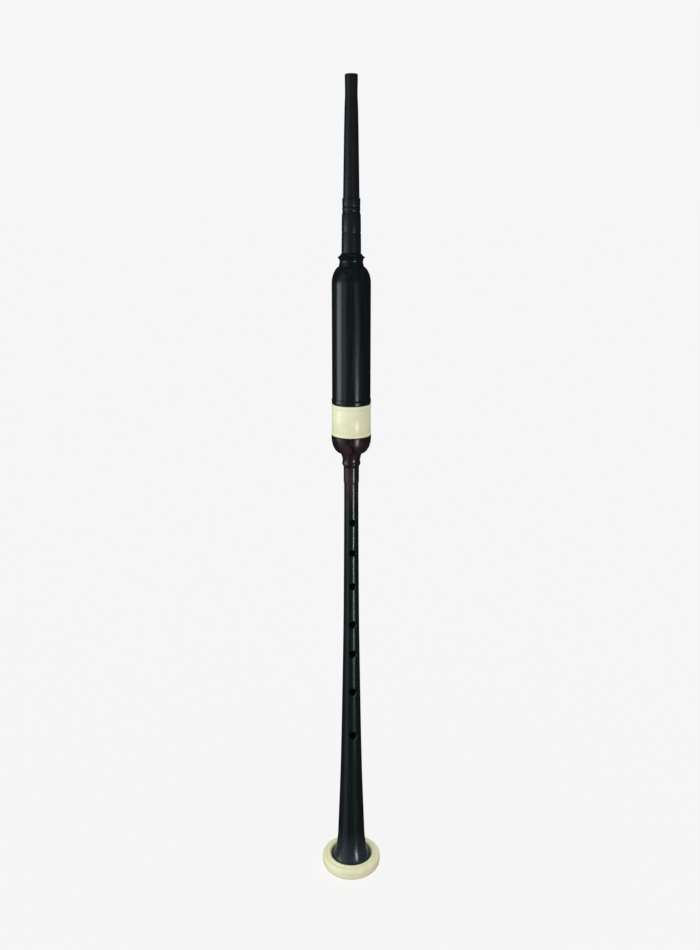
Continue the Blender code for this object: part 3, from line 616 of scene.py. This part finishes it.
def winding(name, wide, deep, foot, top, thread):
    """A tube of the thread's radius about a helix whose turns touch, from foot to top, with open ends."""
    turns = (top - foot) / thread - 1
    t = np.linspace(0, 2 * math.pi * turns, int(turns * TURN_STEPS))
    out = np.stack([np.cos(t), np.sin(t), 0 * t], axis=1)
    height = foot + thread / 2 + thread * t / (2 * math.pi)
    path = np.stack([wide * np.cos(t), deep * np.sin(t), height], axis=1)
    round_it = np.linspace(0, 2 * math.pi, THREAD_SIDES, endpoint=False)
    up = np.array([0, 0, 1.0])
    ring = np.cos(round_it)[None, :, None] * out[:, None] + np.sin(round_it)[None, :, None] * up
    points = path[:, None] + ring * thread * THREAD_FULLNESS
    i, j = np.meshgrid(np.arange(len(t) - 1), np.arange(THREAD_SIDES), indexing="ij")
    on = (j + 1) % THREAD_SIDES
    row = THREAD_SIDES
    faces = np.stack([i * row + j, i * row + on, (i + 1) * row + on, (i + 1) * row + j], axis=2)
    return mesh_object(name, points.reshape(-1, 3), faces.reshape(-1, 4).tolist())


tenon_hemp = winding(
    "tenon_hemp_wound",
    TENON_WINDING,
    TENON_WINDING,
    SHOULDER + TENON_LIP_HEIGHT + WINDING_GAP,
    TENON_TOP - TENON_LIP_HEIGHT - WINDING_GAP,
    HEMP,
)
mouthpiece_hemp = winding(
    "mouthpiece_hemp_wound",
    PLUG_WINDING,
    PLUG_WINDING,
    PLUG_FOOT + PLUG_LIP_HEIGHT + WINDING_GAP,
    CHAMBER_TOP - PLUG_LIP_HEIGHT - WINDING_GAP,
    HEMP,
)
reed_hemp = winding(
    "reed_hemp_wound", REED_WINDING, REED_WINDING, REED_FOOT + WINDING_GAP, REED_FOOT + 11.8 * MM, HEMP
)
print("hemp windings:", [len(o.data.polygons) for o in (tenon_hemp, mouthpiece_hemp, reed_hemp)], "faces")

# %% [markdown]
# ## Materials
#
# Each material is a small graph of nodes. Patterns take object coordinates, which are real metres here,
# so a pattern's scale is one over the size of its features. Colours are written as sRGB hex digits and
# made linear once. An image of real wood could be used instead, but noise has no seams and stays sharp
# from close by.

# %%
# Tools for materials
def linear(hex_colour):
    """sRGB to linear: c / 12.92 below 0.04045, and ((c + 0.055) / 1.055) ** 2.4 above."""
    c = np.array([int(hex_colour[i : i + 2], 16) / 255 for i in (0, 2, 4)])
    value = np.where(c <= 0.04045, c / 12.92, ((c + 0.055) / 1.055) ** 2.4)
    return [*value.tolist(), 1.0]


def add(tree, kind, settings=None, links=None, **attributes):
    """One node with its attributes, its input values and the sockets that feed it."""
    node = tree.nodes.new("ShaderNode" + kind)
    for name, value in attributes.items():
        setattr(node, name, value)
    for name, value in (settings or {}).items():
        node.inputs[name].default_value = value
    for name, socket in (links or {}).items():
        tree.links.new(socket, node.inputs[name])
    return node


def start(name):
    """A new material with its tree and its shader."""
    made = bpy.data.materials.new(name)
    made.use_nodes = True
    return made, made.node_tree, made.node_tree.nodes["Principled BSDF"]


def mottled(tree, scale, detail, stops, *pairs):
    """Noise with so many features a metre along X, Y and Z, and a ramp for each pair of colours."""
    where = add(tree, "Mapping", {"Scale": scale}, {"Vector": add(tree, "TexCoord").outputs["Object"]})
    noise = add(tree, "TexNoise", {"Scale": 1.0, "Detail": detail}, {"Vector": where.outputs["Vector"]})
    colours = []
    for pair in pairs:
        ramp = add(tree, "ValToRGB", links={"Fac": noise.outputs["Fac"]})
        for element, stop, colour in zip(ramp.color_ramp.elements, stops, pair):
            element.position = stop
            element.color = linear(colour)
        colours.append(ramp.outputs["Color"])
    return noise.outputs["Fac"], *colours


def from_to(first, last, low, high):
    """Settings of a Map Range node: what runs from first to last comes out from low to high."""
    return {"From Min": first, "From Max": last, "To Min": low, "To Max": high}


print("one function adds each node")

# %% [markdown]
# Blackwood is nearly black, with fine grain along the pipe, and it is polished, so its gloss changes a
# little with the grain. Round the collar and the bulb the red of the heartwood shows through. The
# bell's lighter blue-grey is a painted reflection of the low light that its flare would mirror. Painted
# masks could place these, but a second and a third colour mixed in by height are enough, because each
# zone goes all the way round.

# %%
# Blackwood
GRAIN_SCALE = (900, 900, 30)  # features a metre: about 1 mm wide across the grain, 33 mm long along it
PATCH_SCALE = (260, 260, 70)
RED_FOOT = (0.256, 0.270)  # heights between which the red comes in
RED_TOP = (0.300, 0.306)
RED_SHARE = 0.75
# The bell's lighter grey, mixed in below these heights, is a painted reflection of low light on the flare.
BELL_REFLECTION_HEIGHTS = (0.009, 0.030)  # heights between which the bell's grey fades out


def blackwood():
    """Turned, polished African blackwood: dark grain, red heartwood by the collar, painted reflection on the
    bell.
    """
    made, tree, shader = start("african_blackwood")
    # The second ramp's blue-grey is a painted reflection for the bell, not a colour of the wood.
    grain, dark, painted_bell_reflection = mottled(
        tree, GRAIN_SCALE, 6.0, (0.35, 0.7), ("0a1011", "121a1b"), ("202a2e", "283438")
    )
    red = mottled(tree, PATCH_SCALE, 3.0, (0.4, 0.62), ("150f13", "3b222b"))[1]
    place = add(tree, "SeparateXYZ", links={"Vector": add(tree, "TexCoord").outputs["Object"]})
    height = {"Value": place.outputs["Z"]}
    rise = add(tree, "MapRange", from_to(*RED_FOOT, 0.0, RED_SHARE), height)
    fall = add(tree, "MapRange", from_to(*RED_TOP, 1.0, 0.0), height)
    share = add(tree, "Math", operation="MULTIPLY", links={0: rise.outputs[0], 1: fall.outputs[0]})
    mix = add(tree, "Mix", data_type="RGBA", links={0: share.outputs[0], 6: dark, 7: red})
    # Mixes the painted reflection into the bell, fading it out upwards.
    bell_reflection_fade = add(tree, "MapRange", from_to(*BELL_REFLECTION_HEIGHTS, 1.0, 0.0), height)
    with_bell_reflection = add(tree, "Mix", data_type="RGBA", links={0: bell_reflection_fade.outputs[0], 6: mix.outputs[2], 7: painted_bell_reflection})
    tree.links.new(with_bell_reflection.outputs[2], shader.inputs["Base Color"])
    rough = add(tree, "MapRange", from_to(0.3, 0.7, 0.2, 0.3), {"Value": grain})
    tree.links.new(rough.outputs[0], shader.inputs["Roughness"])
    return made


wood = blackwood()
print("made", wood.name)

# %% [markdown]
# The mouthpiece is black acetal, turned on a lathe and left as the tool cut it. So its colour and
# roughness vary in fine rings, which are noise squeezed flat along Z: a wave texture would repeat too
# evenly. The sole and the ferrule are cream plastic that imitates ivory. It is faintly banded, and light
# spreads a little inside it, which softens the shade at its edges.

# %%
# Plastics
RING_SCALE = (20, 20, 2600)
BAND_SCALE = (160, 40, 220)
SCATTER_DEPTH = 1.5 * MM


def black_plastic():
    """Black acetal with fine turning rings, in its colour and in its roughness."""
    made, tree, shader = start("black_turned_plastic")
    rings, colour = mottled(tree, RING_SCALE, 4.0, (0.3, 0.7), ("0e1215", "14191d"))
    tree.links.new(colour, shader.inputs["Base Color"])
    rough = add(tree, "MapRange", from_to(0.3, 0.7, 0.3, 0.42), {"Value": rings})
    tree.links.new(rough.outputs[0], shader.inputs["Roughness"])
    return made


def imitation_ivory():
    """Cream plastic made to look like ivory, turned and polished: soft bands, a short scatter inside."""
    made, tree, shader = start("imitation_ivory_plastic")
    colour = mottled(tree, BAND_SCALE, 3.0, (0.3, 0.7), ("d6d4ad", "dfdcba"))[1]
    tree.links.new(colour, shader.inputs["Base Color"])
    shader.inputs["Roughness"].default_value = 0.28
    shader.inputs["Subsurface Weight"].default_value = 0.15
    shader.inputs["Subsurface Scale"].default_value = SCATTER_DEPTH
    return made


plastic = black_plastic()
ivory = imitation_ivory()
print("made", plastic.name, "and", ivory.name)

# %% [markdown]
# The parts inside show only when a joint is pulled. Hemp, binding thread, the reed's plastic and the
# bridle's rubber differ in colour and gloss, and share one function. The staple is drawn brass, a metal,
# whose colour runs in streaks along the draw.

# %%
# Fibres, rubber and brass
FIBRE_SCALE = (1500, 1500, 900)
DRAW_SCALE = (1800, 1800, 60)


def plain_fibre(name, colours, roughness=0.8):
    """Waxed thread, moulded plastic or rubber: two near colours, mottled finely, and a plain gloss."""
    made, tree, shader = start(name)
    colour = mottled(tree, FIBRE_SCALE, 5.0, (0.3, 0.7), colours)[1]
    tree.links.new(colour, shader.inputs["Base Color"])
    shader.inputs["Roughness"].default_value = roughness
    return made


def brass():
    """Drawn brass tube: metal whose colour is streaked along the draw."""
    made, tree, shader = start("drawn_brass")
    colour = mottled(tree, DRAW_SCALE, 4.0, (0.3, 0.7), ("b08d3c", "d2b160"))[1]
    tree.links.new(colour, shader.inputs["Base Color"])
    shader.inputs["Metallic"].default_value = 1.0
    shader.inputs["Roughness"].default_value = 0.32
    return made


hemp = plain_fibre("waxed_hemp_thread", ("9a7430", "c99c4c"))
thread = plain_fibre("red_binding_thread", ("8e2a22", "b83a2f"), 0.65)
cane = plain_fibre("cane_coloured_reed_plastic", ("cdbc90", "e0d0a6"), 0.45)
rubber = plain_fibre("black_bridle_rubber", ("1d1d20", "2b2b2f"), 0.7)
metal = brass()
print("materials:", len(bpy.data.materials))

# %% [markdown]
# ## Putting the pieces in the frame
#
# Each new piece rides on the body that carries it, stands for the plain solid of the same part, and gets
# its material. The reed's tube, blades, binding and bridle, and the cores under the hemp, keep their own
# solids and only get materials.

# %%
# Pieces, bodies and slots
PIECES = [
    (body, "chanter", ["chanter_body"], "blackwood", wood),
    (sole, "chanter", ["sole"], "imitation_ivory", ivory),
    (ferrule, "chamber", ["chamber_ferrule"], "imitation_ivory", ivory),
    (chamber, "chamber", ["reed_chamber"], "blackwood", wood),
    (barrel, "mouthpiece", ["mouthpiece_barrel"], "black_plastic", plastic),
    (tip, "mouthpiece_tip", ["mouthpiece_tip"], "black_plastic", plastic),
    (tenon_hemp, "chanter_lapping", [], "hemp", hemp),
    (mouthpiece_hemp, "mouthpiece_lapping", [], "hemp", hemp),
    (reed_hemp, "reed", [], "hemp", hemp),
]
for piece, carrier, nodes, slot, finish in PIECES:
    piece.data.materials.append(finish)
    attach(piece, carrier)
    if nodes:
        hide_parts(*nodes)

KEPT = {
    "chanter_tenon_lapping": hemp,
    "mouthpiece_tenon_lapping": hemp,
    "reed_seat_lapping": hemp,
    "reed_staple": metal,
    "reed_blade_front": cane,
    "reed_blade_back": cane,
    "reed_binding": thread,
    "reed_bridle": rubber,
}
for node, finish in KEPT.items():
    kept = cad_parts[node]
    kept.data.materials.clear()
    kept.data.materials.append(finish)
print(len(PIECES), "new pieces,", len(KEPT), "kept solids")

# %% [markdown]
# ## Floor and room
#
# The photograph's background is one pale grey. A backdrop lit by lamps would never come out so even, so
# the floor gives most of its light out by itself. The rest comes from the room and is where the soft
# shadow shows. The room is pale to the camera and an even light to everything else. Mirror rays meet a
# dim room instead, because in the photograph the polished wood mirrors dark surroundings with a few
# windows in them.

# %%
# Pale floor
PAPER = "f6f6f6"
FLOOR_SIZE = 80.0
ROOM_LIGHT = 0.5
FLOOR_SHADE = "909090"  # the matt part of the paper, which takes the shadow
PAPER_LEVEL = 0.913  # linear brightness that the floor is set for, a hundredth under the paper's own
SHADE_LEVEL = 0.279  # linear brightness of the matt part's colour
FLOOR_GLOW = 1 - ROOM_LIGHT * SHADE_LEVEL / PAPER_LEVEL


def floor_material():
    """Paper for the camera, as glow plus a matt part that takes the shadow."""
    made, tree, shader = start("studio_paper")
    tree.nodes.remove(shader)
    output = tree.nodes["Material Output"]
    glow = add(tree, "Emission", {"Color": linear(PAPER), "Strength": FLOOR_GLOW})
    matt = add(tree, "BsdfDiffuse", {"Color": linear(FLOOR_SHADE)})
    both = add(tree, "AddShader", links={0: glow.outputs[0], 1: matt.outputs[0]})
    tree.links.new(both.outputs[0], output.inputs["Surface"])
    return made


def make_floor():
    """A square of paper under the sole. Mirror rays pass it by, so that low lights still reach the stem."""
    half = FLOOR_SIZE / 2
    corners = np.array([(-half, -half, 0), (half, -half, 0), (half, half, 0), (-half, half, 0)], float)
    made = mesh_object("floor", corners, [[0, 1, 2, 3]])
    made.data.materials.append(floor_material())
    made.visible_glossy = False
    made.visible_shadow = False
    return made


floor = make_floor()
print("floor of", FLOOR_SIZE, "m, glow", round(FLOOR_GLOW, 3))

# %%
# Room
MIRRORED_ROOM = 0.012


def make_room():
    """Pale to the camera, dim to mirror rays, and a soft even light to everything else."""
    world = bpy.data.worlds.new("room")
    bpy.context.scene.world = world
    world.use_nodes = True
    tree = world.node_tree
    tree.nodes.clear()
    path = add(tree, "LightPath")
    seen = add(tree, "Background", {"Color": linear(PAPER), "Strength": 1.0})
    light = add(tree, "Background", {"Color": linear("ffffff"), "Strength": ROOM_LIGHT})
    mirrored = add(tree, "Background", {"Color": linear("ffffff"), "Strength": MIRRORED_ROOM})
    by_mirror = {0: path.outputs["Is Glossy Ray"], 1: light.outputs[0], 2: mirrored.outputs[0]}
    unseen = add(tree, "MixShader", links=by_mirror)
    by_camera = {0: path.outputs["Is Camera Ray"], 1: unseen.outputs[0], 2: seen.outputs[0]}
    mixed = add(tree, "MixShader", links=by_camera)
    add(tree, "OutputWorld", links={"Surface": mixed.outputs[0]})
    return world


room = make_room()
print("room light", ROOM_LIGHT)

# %% [markdown]
# ## Camera
#
# The camera's distance, height and tilt were worked out from the ellipses of the rings and the width of
# the pipe. Tilting it further down, until the pipe's middle is in the picture's middle, would draw the
# pipe's foot together. So the lens is shifted instead, as a photographer's is, and only the photograph's
# own small tilt is kept.

# %%
# Camera
CAMERA_DISTANCE = 0.603
CAMERA_HEIGHT = 0.4524
CAMERA_TURN = math.radians(-9)
CAMERA_TILT = math.radians(8)
PICTURE_WIDTH, PICTURE_HEIGHT = 700, 950
AXIS_COLUMN, LEVEL_ROW = 351.3, 338  # where the optical axis meets the picture
FOCAL_PIXELS = 951
SENSOR_SIZE = 36  # millimetres, along the picture's longer side
NEAREST, FARTHEST = 0.01, 50

towards_camera = np.array([math.sin(CAMERA_TURN), -math.cos(CAMERA_TURN), 0])
rightwards = np.array([math.cos(CAMERA_TURN), math.sin(CAMERA_TURN), 0])


def make_camera():
    """A camera with the photograph's lens, which looks at the pipe from slightly above its middle."""
    lens = bpy.data.cameras.new("camera")
    lens.sensor_width = SENSOR_SIZE
    lens.lens = lens.sensor_width * FOCAL_PIXELS / PICTURE_HEIGHT
    lens.shift_x = (PICTURE_WIDTH / 2 - AXIS_COLUMN) / PICTURE_HEIGHT
    lens.shift_y = (LEVEL_ROW - PICTURE_HEIGHT / 2) / PICTURE_HEIGHT
    lens.clip_start, lens.clip_end = NEAREST, FARTHEST
    made = bpy.data.objects.new("camera", lens)
    bpy.context.scene.collection.objects.link(made)
    made.location = towards_camera * CAMERA_DISTANCE + np.array([0, 0, CAMERA_HEIGHT])
    made.rotation_euler = (math.pi / 2 - CAMERA_TILT, 0, CAMERA_TURN)
    bpy.context.scene.camera = made
    return made


camera = make_camera()
print("camera at", [round(v, 3) for v in camera.location])

# %% [markdown]
# ## Lights
#
# A polished cylinder mirrors a light as a bright upright line, and the line's place on it tells which way
# the light lies. So each line in the photograph set the angle of one strip, and where the line starts and
# ends on the pipe set how low and how high the strip reaches. All strips light the pieces only, which
# light linking does, so that the floor keeps its even tone.

# %%
# Tools for lights
LIGHT_DISTANCE = 0.9
COOL = linear("e2eef6")[:3]


def gather_pieces():
    """A collection of all that the lights shine on: the new pieces and the kept solids."""
    gathered = bpy.data.collections.new("lit_pieces")
    for lit in [piece for piece, *rest in PIECES] + [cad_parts[node] for node in KEPT]:
        gathered.objects.link(lit)
    return gathered


def place_light(name, data, where, turn, pieces):
    """A lamp at a place, turned about X and Z, that lights only the gathered pieces."""
    made = bpy.data.objects.new(name, data)
    bpy.context.scene.collection.objects.link(made)
    made.location = where
    made.rotation_euler = turn
    made.light_linking.receiver_collection = pieces
    return made


def ceiling_light(brightness, size, height, pieces):
    """A wide soft light overhead, for the top of the sole. Mirror rays pass it by."""
    data = bpy.data.lights.new("ceiling", "AREA")
    data.size = size
    data.energy = brightness * math.pi * size**2
    made = place_light("ceiling", data, (0, 0, height), (0, 0, 0), pieces)
    made.visible_glossy = False
    return made


def strip_light(name, angle, low, high, width, brightness, pieces):
    """An upright rectangle of light at an angle from the camera. Power is brightness times pi times area."""
    data = bpy.data.lights.new(name, "AREA")
    data.shape = "RECTANGLE"
    data.size, data.size_y = width, high - low
    data.energy = brightness * math.pi * width * (high - low)
    data.color = COOL
    turn = math.radians(angle)
    out = towards_camera * math.cos(turn) + rightwards * math.sin(turn)
    where = out * LIGHT_DISTANCE + np.array([0, 0, (low + high) / 2])
    return place_light(name, data, where, (math.pi / 2, 0, math.atan2(out[0], -out[1])), pieces)


lit_pieces = gather_pieces()

# %%
# The lights themselves
STRIPS = [  # name, degrees to the camera's right, lowest and highest point, width, brightness
    ("left_window", -77, 0.06, 0.42, 0.44, 3.8),
    ("left_wall_low", -58, -0.3, 0.06, 0.7, 0.5),
    ("left_wall_foot", -58, -0.8, -0.3, 0.7, 0.3),
    ("left_wall_high", -58, 0.42, 1.1, 0.7, 0.34),
    ("left_wall_middle", -46, 0.06, 0.42, 0.5, 0.6),
    ("right_strip", 35.5, -0.2, 0.12, 0.10, 28.0),
    ("right_strip_foot", 35.5, -0.3, -0.2, 0.10, 4.0),
    ("upper_right_strip", 24, 0.12, 0.5, 0.05, 1.2),
    ("front_fill", -25, -0.2, 0.9, 0.8, 0.9),
]
ONLY_MIRRORED = ("right_strip", "right_strip_foot")
NEVER_MIRRORED = ("front_fill",)
CEILING_BRIGHTNESS, CEILING_SIZE, CEILING_HEIGHT = 1.7, 2.0, 1.6

ceiling_light(CEILING_BRIGHTNESS, CEILING_SIZE, CEILING_HEIGHT, lit_pieces)
for name, *measures in STRIPS:
    strip = strip_light(name, *measures, lit_pieces)
    strip.visible_glossy = name not in NEVER_MIRRORED
    strip.visible_diffuse = name not in ONLY_MIRRORED
view = bpy.context.scene.view_settings
view.view_transform = "Standard"
print("a ceiling and", len(STRIPS), "strips of light")
